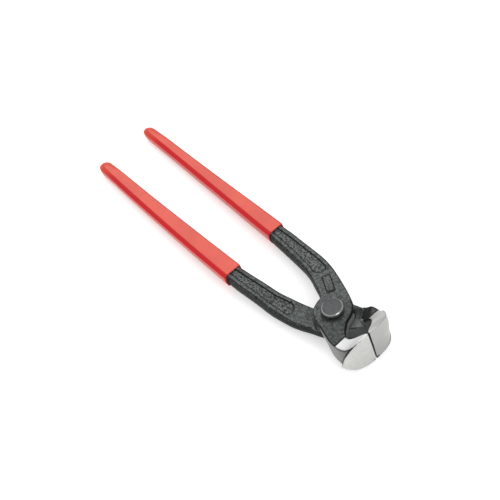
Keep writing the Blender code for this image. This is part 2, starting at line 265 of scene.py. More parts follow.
def blend(low, high, share):
    return low + (high - low) * share


def smoothstep(low, high, value):
    share = np.clip((value - low) / (high - low), 0.0, 1.0)
    return share * share * (3.0 - 2.0 * share)


def rib(outer, inner, tops, bottoms, bevel, crown):
    return [*outer, *inner, *tops, *bottoms, *bevel, crown]


def widened(outer, inner, gains):
    """The two ends of a rib, moved apart by a gain in mm on each side."""
    along = np.subtract(outer, inner)
    along = along / np.linalg.norm(along)
    return np.add(outer, along * gains[0]), np.subtract(inner, along * gains[1])


def at_station(values, reach):
    """A value of the grips' table at one place along the handle, eased at the table's corners."""
    places = reach + np.linspace(-STATION_EASE, STATION_EASE, 9)
    return float(np.mean(np.interp(places, GRIP_STATIONS, values)))


def tang_halves(reach):
    share = (reach - TANG_END) / (TANG_ROOT - TANG_END)
    half_width = blend(TANG_END_WIDTH, ARM_WIDTH, share) / 2
    return half_width, blend(TANG_END_THICKNESS / 2, ARM_HALF, share)


def lever_ribs(lower):
    """Ribs of one lever, from the tang's end to the jaw's edge."""
    ribs = []
    if lower:
        gains = list(zip(LOWER_OUTER_GAIN, LOWER_INNER_GAIN))
    else:
        gains = list(zip(UPPER_OUTER_GAIN, UPPER_INNER_GAIN))
    for share in (0.0, 0.2, 0.4, 0.6, 0.8, 1.0):
        reach = blend(TANG_END, TANG_ROOT, share)
        side, height = tang_halves(reach)
        middle = HANDLE_LINE
        if share < 1.0:
            middle += at_station(LOWER_GRIP_SHIFT if lower else UPPER_GRIP_SHIFT, reach)
        outer, inner = (reach, middle + side), (reach, middle - side)
        if share == 1.0:
            outer, inner = widened(outer, inner, gains[0])
        ribs.append(rib(outer, inner, [height] * 2, [-height] * 2, ARM_BEVEL, ARM_CROWN))
    lifts = LOWER_LIFT if lower else UPPER_LIFT
    arm = zip(ARM_OUTER, ARM_INNER, ARM_RISE, lifts, gains[1:])
    for outer, inner, rise, lift, gain in arm:
        top = blend(ARM_HALF, LAP_TOP, rise)
        bottom = blend(-ARM_HALF, LAP_STOCK, lift)
        bevel = [blend(a, b, rise) for a, b in zip(ARM_BEVEL, LAP_BEVEL)]
        outer = (HANDLE_REACH * outer[0], ARM_SIDE * outer[1])
        inner = (HANDLE_REACH * inner[0], ARM_SIDE * inner[1])
        outer, inner = widened(outer, inner, gain)
        crown = blend(ARM_CROWN, LAP_CROWN, rise)
        ribs.append(rib(outer, inner, [top] * 2, [bottom] * 2, bevel, crown))
    for outer, inner in zip(LAP_OUTER, LAP_INNER):
        outer = [LAP_RADIUS * share for share in outer]
        inner = [LAP_RADIUS * share for share in inner]
        ribs.append(rib(outer, inner, [LAP_TOP] * 2, [LAP_STOCK] * 2, LAP_BEVEL, LAP_CROWN))
    growth = JAW_HALF - JAW_BACK_HALF
    rims = LOWER_POCKET_RIM if lower else POCKET_HEIGHT
    rows = zip(
        JAW_POCKET, JAW_OUTSIDE, rims, POCKET_HEIGHT, OUTSIDE_HEIGHT, NECK_RISE,
        POCKET_DROP, OUTSIDE_DROP,
    )
    for pocket, outside, rim, pocket_height, outside_height, rise, *drops in rows:
        outer = (JAW_REACH * pocket[0], JAW_SIDE * pocket[1])
        inner = (JAW_REACH * outside[0], JAW_SIDE * outside[1])
        gains = [growth * pocket_height, growth * outside_height]
        back = blend(LAP_TOP, JAW_BACK_HALF, rise)
        tops = [back + growth * rim, back + gains[1]]
        backs = [blend(LAP_STOCK, -JAW_BACK_HALF, drop) for drop in drops]
        bottoms = [back - gain for back, gain in zip(backs, gains)]
        bevel = [blend(a, b, rise) for a, b in zip(LAP_BEVEL, JAW_BEVEL)]
        crown = blend(LAP_CROWN, JAW_CROWN, rise)
        ribs.append(rib(outer, inner, tops, bottoms, bevel, crown))
    outer = (JAW_REACH - JAW_EDGE_THICKNESS, -JAW_SLIT / 2)
    inner = (JAW_REACH, -JAW_SLIT / 2)
    ribs.append(rib(outer, inner, [JAW_HALF] * 2, [-JAW_HALF] * 2, JAW_BEVEL, JAW_CROWN))
    return np.array(ribs)


def fine_rows(ribs, first_fine):
    """Rows on a smooth curve through the ribs, close together from the first fine rib on."""
    middles = (ribs[:, 0:2] + ribs[:, 2:4]) / 2
    spans = np.linalg.norm(np.diff(middles, axis=0), axis=1)
    slopes = np.diff(ribs, axis=0) / spans[:, None]
    tangents = [slopes[0]]
    for i in range(1, len(spans)):
        before, after = spans[i - 1], spans[i]
        tangents.append((slopes[i - 1] * after + slopes[i] * before) / (before + after))
    tangents.append(slopes[-1])
    rows = []
    for i, span in enumerate(spans):
        widest = max(np.linalg.norm(ribs[i + 1, 0:2] - ribs[i, 0:2]), span)
        widest = max(np.linalg.norm(ribs[i + 1, 2:4] - ribs[i, 2:4]), widest)
        steps = max(1, round(widest / ROW_STEP)) if i >= first_fine else COARSE_STEPS
        for step in range(steps):
            t = step / steps
            rows.append(
                (1 + 2 * t) * (1 - t) ** 2 * ribs[i]
                + t * (1 - t) ** 2 * span * tangents[i]
                + t**2 * (3 - 2 * t) * ribs[i + 1]
                + t**2 * (t - 1) * span * tangents[i + 1]
            )
    rows.append(ribs[-1])
    return np.array(rows)


def unit_ring(top_columns, side_columns, corner_columns):
    """Places on a ring as (kind, side, along): top, inner side, underside, outer side."""
    ring = []
    for side in range(4):
        count = top_columns if side % 2 == 0 else side_columns
        ring += [("side", side, step / count) for step in range(count)]
        ring += [("corner", side, step / corner_columns) for step in range(corner_columns)]
    return ring


def place_ring(rows, ring, flatness):
    """Every row's distances across the section, from outer to inner, heights and width."""
    width = np.linalg.norm(rows[:, 2:4] - rows[:, 0:2], axis=1)
    across, down, crown = rows[:, 8], rows[:, 9], rows[:, 10]
    outs = np.zeros((len(rows), len(ring)))
    heights = np.zeros((len(rows), len(ring)))

    def top(out):
        return rows[:, 4] + (rows[:, 5] - rows[:, 4]) * out / width

    def bottom(out):
        return rows[:, 6] + (rows[:, 7] - rows[:, 6]) * out / width

    for column, (kind, side, t) in enumerate(ring):
        if kind == "side" and side % 2 == 0:
            share = t if side == 0 else 1.0 - t
            out = across + (width - 2 * across) * share
            height = top(out) if side == 0 else bottom(out)
        elif kind == "side":
            out = width if side == 1 else 0.0 * width
            high, low = top(out) - down, bottom(out) + down
            share = t if side == 1 else 1.0 - t
            height = high + (low - high) * share
            bulge = crown * (1 - abs(2 * share - 1) ** CROWN_POWER)
            out = out + bulge if side == 1 else out - bulge
        else:
            angle = math.pi / 2 * t
            turn = blend(math.sin(angle), t, flatness)
            drop = blend(1 - math.cos(angle), t, flatness)
            if side == 0:
                out = width - across * (1 - turn)
                height = top(out) - down * drop
            elif side == 1:
                out = width - across * drop
                height = bottom(out) + down * (1 - turn)
            elif side == 2:
                out = across * (1 - turn)
                height = bottom(out) + down * drop
            else:
                out = across * drop
                height = top(out) - down * (1 - turn)
        outs[:, column] = out
        heights[:, column] = height
    return outs, heights, width


def flat_places(rows, outs, width):
    """Each row's direction from outer to inner, and the x and y of its points."""
    direction = (rows[:, 2:4] - rows[:, 0:2]) / width[:, None]
    x = rows[:, 0:1] + direction[:, 0:1] * outs
    y = rows[:, 1:2] + direction[:, 1:2] * outs
    return direction, x, y


def panel_depth(rows, outs, width, end):
    """Depth of the long sunk field on an arm's face, with a round end."""
    middles = (rows[:, 0:2] + rows[:, 2:4]) / 2
    along = np.concatenate([[0], np.cumsum(np.linalg.norm(np.diff(middles, axis=0), axis=1))])
    stop = np.interp(end, middles[:, 0], along)
    start = np.interp(PANEL_START, middles[:, 0], along)
    half = width / 2 - rows[:, 8] - PANEL_MARGIN
    end_half = np.interp(stop, along, half)
    past = np.maximum(along - (stop - end_half), 0.0)
    aside = np.abs(outs - (width / 2)[:, None])
    gap = np.where(
        past[:, None] > 0, np.hypot(past[:, None], aside) - end_half, aside - half[:, None]
    )
    depth = PANEL_DEPTH * smoothstep(0.0, PANEL_WALL, -gap)
    return np.where((along > start)[:, None], depth, 0.0)


def pad_depth(x, y):
    """Depth of the small sunk rectangle beside the rivet."""
    along = x * PAD_ALONG[0] + y * PAD_ALONG[1]
    aside = -x * PAD_ALONG[1] + y * PAD_ALONG[0]
    inside = np.minimum(aside - PAD_SIDES[0], PAD_SIDES[1] - aside)
    inside = np.minimum(along - PAD_RANGE[0], inside)
    fade = 1.0 - smoothstep(PAD_RANGE[1] - PAD_FADE, PAD_RANGE[1], along)
    return PAD_DEPTH * smoothstep(0.0, PAD_WALL, inside) * fade


def grid_mesh(name, points):
    """A closed mesh through rings of points (rows, columns, 3) in millimetres, with end caps."""
    rows, columns = points.shape[:2]
    index = np.arange(rows * columns).reshape(rows, columns)
    after = np.roll(index, -1, axis=1)
    quads = np.stack([index[:-1], after[:-1], after[1:], index[1:]], axis=2).reshape(-1, 4)
    faces = quads.tolist() + [index[0, ::-1].tolist(), index[-1].tolist()]
    mesh = bpy.data.meshes.new(name)
    mesh.from_pydata((points.reshape(-1, 3) * MM).tolist(), [], faces)
    mesh.validate()
    mesh.update()
    return mesh


def outward(mesh):
    """The mesh with its faces turned outward."""
    shape = bmesh.new()
    shape.from_mesh(mesh)
    bmesh.ops.recalc_face_normals(shape, faces=shape.faces)
    shape.to_mesh(mesh)
    shape.free()
    return mesh


def on_circle(radius, degrees):
    return radius * math.cos(math.radians(degrees)), radius * math.sin(math.radians(degrees))


def arc(radius, start, end, steps):
    return [on_circle(radius, blend(start, end, step / steps)) for step in range(steps + 1)]


def full_circle(radius):
    return [on_circle(radius, 360 * i / CIRCLE_STEPS) for i in range(CIRCLE_STEPS)]


def stepped(point, degrees, distance):
    x, y = on_circle(distance, degrees)
    return point[0] + x, point[1] + y


def prism(name, outline, low, high):
    rings = np.array([[(x, y, z) for x, y in outline] for z in (low, high)])
    obj = bpy.data.objects.new(name, outward(grid_mesh(name, rings)))
    bpy.context.scene.collection.objects.link(obj)
    return obj


def lap_room():
    """A cutter that leaves room for the other lever's lap."""
    jaw_side = arc(JAW_SHOULDER_RADIUS, JAW_SHOULDER_FROM, JAW_SHOULDER_TO, ARC_STEPS)
    arm_side = arc(ARM_SHOULDER_RADIUS, 90 + ARM_LINE, ARM_SHOULDER_TO, ARC_STEPS)
    left = stepped(arm_side[-1], 180, OVERRUN)
    outline = [
        *jaw_side,
        (LAP_ROOM_END, jaw_side[-1][1]),
        (LAP_ROOM_END, OVERRUN),
        stepped(arm_side[0], ARM_LINE, OVERRUN),
        *arm_side,
        left,
        (left[0], -OVERRUN),
        stepped(jaw_side[0], JAW_SHOULDER_SLOPE, OVERRUN),
    ]
    return prism("lap_room", outline, -OVERRUN, LAP_UNDER)


def step_line():
    """A cutter for the narrow groove where the lap's step shows beside the other lever, its walls
    painted near black as a painted shadow line.
    """
    first, last = np.array(STEP_LINE[0]), np.array(STEP_LINE[-1])
    along = (last - first) / np.linalg.norm(last - first)
    aside = np.array([-along[1], along[0]]) * STEP_LINE_WIDTH / 2
    outline = [tuple(point - aside) for point in np.array(STEP_LINE)]
    outline += [tuple(point + aside) for point in np.array(STEP_LINE[::-1])]
    groove_painted_shade = prism("step_line", outline, -OVERRUN, STEP_LINE_DEPTH)
    write_attribute(groove_painted_shade.data, "groove_painted_shade", np.ones(len(groove_painted_shade.data.vertices)))
    return groove_painted_shade


def cut(mesh, cutters):
    """The mesh less the cutters, which are deleted."""
    blank = bpy.data.objects.new("blank", mesh)
    bpy.context.scene.collection.objects.link(blank)
    for tool in cutters:
        modifier = blank.modifiers.new(tool.name, "BOOLEAN")
        modifier.operation = "DIFFERENCE"
        modifier.solver = "MANIFOLD"
        modifier.object = tool
    graph = bpy.context.evaluated_depsgraph_get()
    result = bpy.data.meshes.new_from_object(blank.evaluated_get(graph))
    for used in (blank, *cutters):
        bpy.data.objects.remove(used, do_unlink=True)
    return result


def half_way(share):
    """1 about half-way down a recess's wall, 0 above and below it."""
    return smoothstep(0.0, 0.3, share) * (1 - smoothstep(0.75, 1.0, share))


def ground_edge(height):
    """How far forward the ground part of the jaw's outside begins, at each height."""
    return GROUND_SIDE_START + GROUND_SIDE_SLANT * height


def bulge_ground_face(rows, outs, width, x, y, heights):
    """Moves the start of the ground face outward, most of all near the underside."""
    along = np.gradient(rows[:, 2:4], axis=0)
    along /= np.linalg.norm(along, axis=1)[:, None]
    aside = np.stack([along[:, 1], -along[:, 0]], axis=1)
    past = x - ground_edge(heights)
    amount = GROUND_BULGE * smoothstep(*BULGE_START, past) * (1 - smoothstep(*BULGE_END, past))
    amount = amount * smoothstep(*BULGE_LEVELS, -heights)
    amount = amount * smoothstep(0.5, 1.0, outs / width[:, None]) * (x > BULGE_FROM)
    return x + aside[:, 0:1] * amount, y + aside[:, 1:2] * amount


def edge_shade_band(rows, ring, x):
    """Painted shade: 1 on the sides of the neck and jaw close to the flat faces, 0 further down
    the sides.
    """
    span = (rows[:, 4:6].mean(axis=1) - rows[:, 6:8].mean(axis=1))[:, None]
    share = [min(t, 1 - t) if kind == "side" and side % 2 else 0.0 for kind, side, t in ring]
    on_side = np.array([kind == "corner" or side % 2 == 1 for kind, side, t in ring])
    shade_band = np.where(on_side[None], 1 - smoothstep(*EDGE_SHADE_WIDTH, share * span), 0.0)
    return shade_band * (x > EDGE_SHADE_START)


def lever_mesh(lower):
    """One lever, forged, drilled and cut back for the other's lap below its own."""
    rows = fine_rows(lever_ribs(lower), FIRST_FINE_RIB)
    ring = unit_ring(TOP_COLUMNS, SIDE_COLUMNS, CORNER_COLUMNS)
    outs, heights, width = place_ring(rows, ring, BEVEL_FLATNESS)
    direction, x, y = flat_places(rows, outs, width)
    tops = np.array([kind == "side" and side == 0 for kind, side, t in ring])
    unders = np.array([kind == "side" and side == 2 for kind, side, t in ring])
    top_panel, pad = panel_depth(rows, outs, width, PANEL_TOP_END), pad_depth(x, y)
    top_depth = np.where(tops[None], top_panel + pad, 0)
    under_panel = np.where(unders[None], panel_depth(rows, outs, width, PANEL_UNDER_END), 0)
    heights = heights - top_depth + under_panel
    if lower:
        past_lap = smoothstep(*LOWER_SET_END, x)
        heights += LOWER_SET * smoothstep(*LOWER_SET_START, x) * (1 - past_lap)
        near = 1 - smoothstep(0.0, POCKET_DRAFT_SHARE, outs / width[:, None])
        lean = POCKET_DRAFT * near * smoothstep(*POCKET_DRAFT_HEIGHTS, heights)
        lean = lean * smoothstep(*POCKET_DRAFT_START, x)
        lean = lean * (1 - smoothstep(*POCKET_DRAFT_END, x))
        x, y = x - direction[:, 0:1] * lean, y - direction[:, 1:2] * lean
    x, y = bulge_ground_face(rows, outs, width, x, y, heights)
    body = outward(grid_mesh("lever", np.stack([x, y, heights], axis=2)))
    panel = np.where(tops[None], top_panel, 0) + under_panel
    write_attribute(body, "recess", smoothstep(*PANEL_FLOOR, panel / PANEL_DEPTH).reshape(-1))
    # Painted shade half-way down the walls of the sunk fields
    wall = half_way(panel / PANEL_DEPTH) + half_way(np.where(tops[None], pad, 0) / PAD_DEPTH)
    write_attribute(body, "groove_painted_shade", wall.reshape(-1))
    # Painted shade along the sides' edges next to the flat faces
    write_attribute(body, "rim", edge_shade_band(rows, ring, x).reshape(-1))
    cutters = [lap_room(), prism("rivet_hole", full_circle(HOLE_RADIUS), -OVERRUN, OVERRUN)]
    return cut(body, cutters + [step_line()] if lower else cutters)


def vertex_arrays(mesh):
    """The points in millimetres, the normals and the edges of a mesh."""
    count = len(mesh.vertices)
    points = np.zeros(count * 3, np.float32)
    normals = np.zeros(count * 3, np.float32)
    mesh.vertices.foreach_get("co", points)
    mesh.vertex_normals.foreach_get("vector", normals)
    edges = np.zeros(len(mesh.edges) * 2, np.int32)
    mesh.edges.foreach_get("vertices", edges)
    return points.reshape(-1, 3) / MM, normals.reshape(-1, 3), edges.reshape(-1, 2)


def write_attribute(mesh, name, values):
    attribute = mesh.attributes.new(name, "FLOAT", "POINT")
    attribute.data.foreach_set("value", values.astype(np.float32))


def convexity(points, normals, edges):
    """How sharply the surface turns outward at each vertex, in 1/mm, smoothed a little."""
    a, b = edges[:, 0], edges[:, 1]
    step = points[b] - points[a]
    length = np.maximum((step**2).sum(1), 1e-4)
    turn = ((normals[b] - normals[a]) * step).sum(1) / length
    total = np.zeros(len(points))
    count = np.zeros(len(points))
    for end in (a, b):
        np.add.at(total, end, turn)
        np.add.at(count, end, 1)
    total *= 2 / count
    for _ in range(2):
        sums = total.copy()
        np.add.at(sums, a, total[b])
        np.add.at(sums, b, total[a])
        total = sums / (count + 1)
    return total


def ground_distance(points, normals):
    """Distance past the edge of the ground faces of the jaw, in mm, negative on forged skin."""
    x, y, z = points.T
    slope = np.abs(normals[:, 2])
    distance = np.where(slope > FLAT_SLOPE, x - GROUND_TOP_START, x - ground_edge(z))
    inward = normals[:, 0] * (POCKET_MIDDLE - x) - normals[:, 1] * y
    facing_slit = inward > 0.5 * np.hypot(POCKET_MIDDLE - x, y)
    walls = (slope < WALL_SLOPE) & facing_slit
    rims = (slope < RIM_SLOPE) & facing_slit & (x > GROUND_TOP_START)
    # The slit and the pocket's rims are marked to be painted near black as painted shade
    slit = (np.abs(y) < 0.6 * JAW_SLIT) & (x > SLIT_START)
    distance = np.where(rims, np.minimum(distance, RIM_MARK), distance)
    return np.where(slit, SLIT_MARK, np.where(walls, WALL_MARK, distance))


def between(limits, values):
    return (values > limits[0]) & (values < limits[1])


def linished_share(x, y, normals):
    """1 on the neck's and jaw's outer side, which is rubbed bright by a belt."""
    outside = -y / np.maximum(np.hypot(x - BACK_MIDDLE, y), 1.0)
    facing = -normals[:, 1] * smoothstep(0.0, 0.3, outside)
    steep = 1.0 - smoothstep(0.35, 0.55, np.abs(normals[:, 2]))
    return smoothstep(0.1, 0.4, facing) * steep * smoothstep(*BACK_START, x)


def painted_shadow_share(x, y, level):
    """1 in the painted shadow of the rivet's head, a dark crescent beside it, and less on the
    neck, where painted shade lies too; top side only.
    """
    radius = np.hypot(x, y)
    side = (x - y) / np.maximum(radius, 1.0)
    reach = blend(*SHADOW_REACH, smoothstep(*SHADOW_TURN, side))
    painted_shadow = 1 - smoothstep(*SHADOW_FADE, radius - reach)
    neck = NECK_SHADE * smoothstep(*NECK_SHADE_START, x)
    return np.maximum(painted_shadow, neck) * (level > SHADOW_LEVEL)


def add_lever_attributes(mesh, up):
    """Attributes for the material. The sign says which way of the mesh faces up in the tool."""
    points, normals, edges = vertex_arrays(mesh)
    x, y = points[:, 0], points[:, 1]
    level = points[:, 2] * up
    turn = convexity(points, normals, edges)
    write_attribute(mesh, "wear", smoothstep(0.25, 1.3, turn))
    lapped = between(LAPPED_RANGE, x) & (np.abs(y) < LAPPED_SIDE) & (up < 0)
    # Painted shade in concave places, darker the sharper the hollow
    painted_hollow_shade = smoothstep(0.15, 0.9, -turn) * np.where(lapped, LAPPED_SHADE, 1.0)
    write_attribute(mesh, "painted_hollow_shade", painted_hollow_shade)
    ground = ground_distance(points, normals)
    # Painted contact shadow: the jaw's underside and lowest strip are kept as dark skin
    under = (level < UNDER_MARGIN - JAW_HALF) & (x > UNDER_START)
    write_attribute(mesh, "ground", np.where(under, UNDER_MARK, ground))
    # The pocket's walls, painted lighter as painted light where little light reaches
    deep = between(POCKET_RANGE, x) & (np.abs(y) < POCKET_SIDE) & (level < POCKET_LEVEL)
    deep &= np.abs(normals[:, 2]) < POCKET_SLOPE
    write_attribute(mesh, "pocket", ((ground == WALL_MARK) | deep) * 1.0)
    # The lower lever's ground faces are painted darker, as painted shade
    write_attribute(mesh, "lower_lever_shade", np.full(len(points), float(up < 0)))
    write_attribute(mesh, "linished", linished_share(x, y, normals))
    write_attribute(mesh, "painted_shadow", painted_shadow_share(x, y, level))


def section_row(reach, middle, half_width, half_height, bevel, crown):
    outer = (reach, middle + half_width)
    inner = (reach, middle - half_width)
    return rib(outer, inner, [half_height] * 2, [-half_height] * 2, bevel, crown)


def grip_row(reach, share, halves, shifts, full, inset):
    """A row of a grip's outside: full is 1 on the handle and falls to nearly 0 round its end."""
    side = at_station(halves, reach) * full - inset
    height = blend(*GRIP_HALF_HEIGHTS, share) * full - inset
    ends = zip(GRIP_BEVEL, (side, height))
    bevel = [min(size * full, end * FULLEST_BEVEL) for size, end in ends]
    middle = HANDLE_LINE + at_station(shifts, reach)
    return section_row(reach, middle, side, height, bevel, GRIP_CROWN * full)


def grip_rows(length, halves, shifts, extra):
    """Rows of a grip: the cavity from its end to the mouth, the lip, the outside and the nose."""
    mouth = length - HANDLE_REACH
    start = GRIP_END_NOSE - HANDLE_REACH - extra
    rows = []
    for step in range(CAVITY_ROWS):
        share = step / (CAVITY_ROWS - 1)
        reach = blend(TANG_END - CAVITY_GAP, mouth - CAVITY_MOUTH, share)
        side, height = [half + CAVITY_GAP for half in tang_halves(reach)]
        middle = HANDLE_LINE + at_station(shifts, reach)
        rows.append(section_row(reach, middle, side, height, CAVITY_BEVEL, ARM_CROWN))
    outside = [(mouth - back, 1.0, inset) for inset, back in GRIP_LIP]
    lip_end = mouth - GRIP_LIP[-1][1]
    for step in range(1, GRIP_ROWS + 1):
        outside.append((blend(lip_end, start, step / GRIP_ROWS), 1.0, 0.0))
    for step in range(1, NOSE_ROWS + 1):
        angle = math.pi / 2 * step / NOSE_ROWS
        full = max(math.cos(angle) ** NOSE_POWER, NOSE_LEAST)
        outside.append((start - GRIP_END_NOSE * math.sin(angle), full, 0.0))
    for reach, full, inset in outside:
        share = max(0.0, (reach - start) / (mouth - start))
        rows.append(grip_row(reach, share, halves, shifts, full, inset))
    return np.array(rows)


def grip_mesh(length, halves, shifts, extra, up):
    """One dipped grip. The sign says which way of the mesh faces up in the tool."""
    rows = grip_rows(length, halves, shifts, extra)
    ring = unit_ring(*GRIP_RING)
    outs, heights, width = place_ring(rows, ring, GRIP_FLATNESS)
    inward = GRIP_DRAFT * smoothstep(GRIP_DRAFT_START, GRIP_HALF_HEIGHTS[1], -up * heights)
    inward[:CAVITY_ROWS] = 0.0
    outs -= (outs - width[:, None] / 2) * inward
    near, far = (0, 3) if up > 0 else (2, 1)
    columns = [i for i, (kind, side, t) in enumerate(ring) if kind == "corner" and side == far]
    edge = 0.0 * width if up > 0 else width
    level = rows[:, 4] if up > 0 else rows[:, 6]
    keep = blend(1.0, GRIP_FAR_BEVEL, smoothstep(*FAR_BEVEL_START, rows[:, 0]))[:, None]
    for values, end in ((outs, edge), (heights, level)):
        values[:, columns] = blend(end[:, None], values[:, columns], keep)
    x, y = flat_places(rows, outs, width)[1:]
    mesh = outward(grid_mesh("grip", np.stack([x, y, heights], axis=2)))
    # Painted shade on the rounded near edge and the far bevel
    shade_band = np.zeros(len(ring))
    for column, (kind, side, t) in enumerate(ring):
        if kind == "corner" and side == near:
            shade_band[column] = smoothstep(0.0, 0.25, t)
        elif kind == "corner" and side == far:
            shade_band[column] = GRIP_FAR_SHADE * smoothstep(0.5, 0.9, 1 - t)
    write_attribute(mesh, "shade_band", (shade_band[None] * smoothstep(*GRIP_SHADE_START, x)).reshape(-1))
    return mesh


def rivet_mesh():
    """The rivet, with its rubbed rim marked."""
    rings = [[(x, y, z) for x, y in full_circle(radius)] for radius, z in RIVET_PROFILE]
    mesh = outward(grid_mesh("rivet", np.array(rings)))
    points = vertex_arrays(mesh)[0]
    radius = np.hypot(points[:, 0], points[:, 1])
    rim = smoothstep(*RIVET_RIM_RADIUS, radius) * smoothstep(*RIVET_RIM_HEIGHT, points[:, 2])
    write_attribute(mesh, "wear", rim)
    return mesh


def turned(mesh):
    """A copy turned half a turn about the tool's long axis."""
    copy = mesh.copy()
    copy.transform(Matrix.Rotation(math.pi, 4, "X"))
    return copy


class Nodes:
    """Short ways to add shader nodes to one material."""

    def __init__(self, name):
        self.material = bpy.data.materials.new(name)
        self.material.use_nodes = True
        self.tree = self.material.node_tree
        self.shader = self.tree.nodes["Principled BSDF"]
        place = self.tree.nodes.new("ShaderNodeTexCoord")
        self.place = place.outputs["Object"]
        self.normal = place.outputs["Normal"]

    def link(self, source, target):
        if isinstance(source, (int, float, tuple)):
            target.default_value = source
        else:
            self.tree.links.new(source, target)

    def attribute(self, name):
        node = self.tree.nodes.new("ShaderNodeAttribute")
        node.attribute_name = name
        return node.outputs["Fac"]

    def noise(self, size, detail=3.0, roughness=0.55, stretch=None):
        node = self.tree.nodes.new("ShaderNodeTexNoise")
        node.inputs["Scale"].default_value = 1.0 / (size * MM)
        node.inputs["Detail"].default_value = detail
        node.inputs["Roughness"].default_value = roughness
        source = self.place
        if stretch:
            mapping = self.tree.nodes.new("ShaderNodeMapping")
            mapping.inputs["Scale"].default_value = stretch
            self.link(self.place, mapping.inputs["Vector"])
            source = mapping.outputs["Vector"]
        self.link(source, node.inputs["Vector"])
        return node.outputs["Fac"]

    def math(self, operation, a, b=0.0, clamp=False):
        node = self.tree.nodes.new("ShaderNodeMath")
        node.operation = operation
        node.use_clamp = clamp
        self.link(a, node.inputs[0])
        self.link(b, node.inputs[1])
        return node.outputs[0]

    def ramp(self, value, low, high, to_low=0.0, to_high=1.0):
        node = self.tree.nodes.new("ShaderNodeMapRange")
        node.interpolation_type = "SMOOTHSTEP"
        self.link(value, node.inputs["Value"])
        node.inputs["From Min"].default_value = low
        node.inputs["From Max"].default_value = high
        node.inputs["To Min"].default_value = to_low
        node.inputs["To Max"].default_value = to_high
        return node.outputs["Result"]

    def mix(self, share, a, b):
        node = self.tree.nodes.new("ShaderNodeMix")
        node.data_type = "RGBA"
        self.link(share, node.inputs[0])
        for value, socket in ((a, node.inputs[6]), (b, node.inputs[7])):
            self.link((*value, 1.0) if isinstance(value, tuple) else value, socket)
        return node.outputs[2]

    def mix_value(self, share, a, b):
        node = self.tree.nodes.new("ShaderNodeMix")
        node.data_type = "FLOAT"
        for value, socket in zip((share, a, b), node.inputs[0:1] + node.inputs[2:4]):
            self.link(value, socket)
        return node.outputs[0]

    def bump(self, height, distance):
        node = self.tree.nodes.new("ShaderNodeBump")
        node.inputs["Strength"].default_value = 1.0
        node.inputs["Distance"].default_value = distance * MM
        self.link(height, node.inputs["Height"])
        self.link(node.outputs["Normal"], self.shader.inputs["Normal"])

    def upright(self):
        """1 where the surface stands upright, 0 where it lies flat."""
        node = self.tree.nodes.new("ShaderNodeSeparateXYZ")
        self.link(self.normal, node.inputs[0])
        return self.ramp(self.math("ABSOLUTE", node.outputs["Z"]), 0.35, 0.75, 1.0, 0.0)

    def tilted(self):
        """1 on the slanting band between the flat faces and the upright sides."""
        node = self.tree.nodes.new("ShaderNodeSeparateXYZ")
        self.link(self.normal, node.inputs[0])
        level = self.math("ABSOLUTE", node.outputs["Z"])
        rise = self.ramp(level, 0.45, 0.6)
        return self.math("MULTIPLY", rise, self.ramp(level, 0.90, 0.97, 1.0, 0.0))


def forged_skin(nodes, mottle, grain, rubbed, upright):
    """Colour of the blacked skin: mottled on faces; painted shade makes it near black on sides,
    bevels and in hollows, and painted light makes the pocket's walls lighter.
    """
    skin = nodes.mix(nodes.ramp(mottle, 0.3, 0.7), (0.028, 0.033, 0.032), (0.142, 0.157, 0.153))
    skin = nodes.mix(nodes.ramp(grain, 0.56, 0.76, 0.0, 0.55), skin, (0.16, 0.17, 0.17))
    pocket = nodes.attribute("pocket")
    # Painted shade: upright sides and slanting bevels go near black, except on the pocket's walls
    shade = nodes.math("MAXIMUM", upright, nodes.tilted())
    shade = nodes.math("MULTIPLY", shade, nodes.math("SUBTRACT", 0.9, pocket, True))
    skin = nodes.mix(shade, skin, (0.004, 0.005, 0.005))
    # Painted light: the pocket's walls are painted a lighter grey
    skin = nodes.mix(nodes.math("MULTIPLY", pocket, 0.8), skin, (0.25, 0.26, 0.255))
    skin = nodes.mix(nodes.math("MULTIPLY", rubbed, 0.35), skin, (0.30, 0.31, 0.31))
    blotch = nodes.ramp(nodes.noise(1.1, 3.0, 0.7), 0.42, 0.60)
    panel = nodes.mix(blotch, (0.006, 0.007, 0.007), (0.190, 0.204, 0.202))
    skin = nodes.mix(nodes.math("MULTIPLY", nodes.attribute("recess"), 0.7), skin, panel)
    # Painted shade: hollows, sunk-field walls, the step groove, the rivet's shadow and the neck
    # go near black
    deep = nodes.math("MAXIMUM", nodes.attribute("painted_hollow_shade"), nodes.attribute("groove_painted_shade"))
    deep = nodes.math("MAXIMUM", deep, nodes.math("MULTIPLY", nodes.attribute("painted_shadow"), 0.9))
    return nodes.mix(nodes.math("MULTIPLY", deep, 0.92), skin, (0.003, 0.003, 0.003))


def ground_steel(nodes, grain, lines, upright):
    """Colour of the ground faces, a little darker on the flat ones, and darker on the lower lever
    as painted shade.
    """
    bright = nodes.ramp(lines, 0.35, 0.65)
    steel = nodes.mix(bright, (0.50, 0.50, 0.48), (0.57, 0.565, 0.545))
    flat = nodes.mix(nodes.ramp(grain, 0.35, 0.65), (0.44, 0.44, 0.44), (0.54, 0.54, 0.54))
    steel = nodes.mix(upright, flat, steel)
    lower_lever_shade = nodes.math("MULTIPLY", nodes.attribute("lower_lever_shade"), 0.6)
    return nodes.mix(lower_lever_shade, steel, (0.29, 0.29, 0.28))


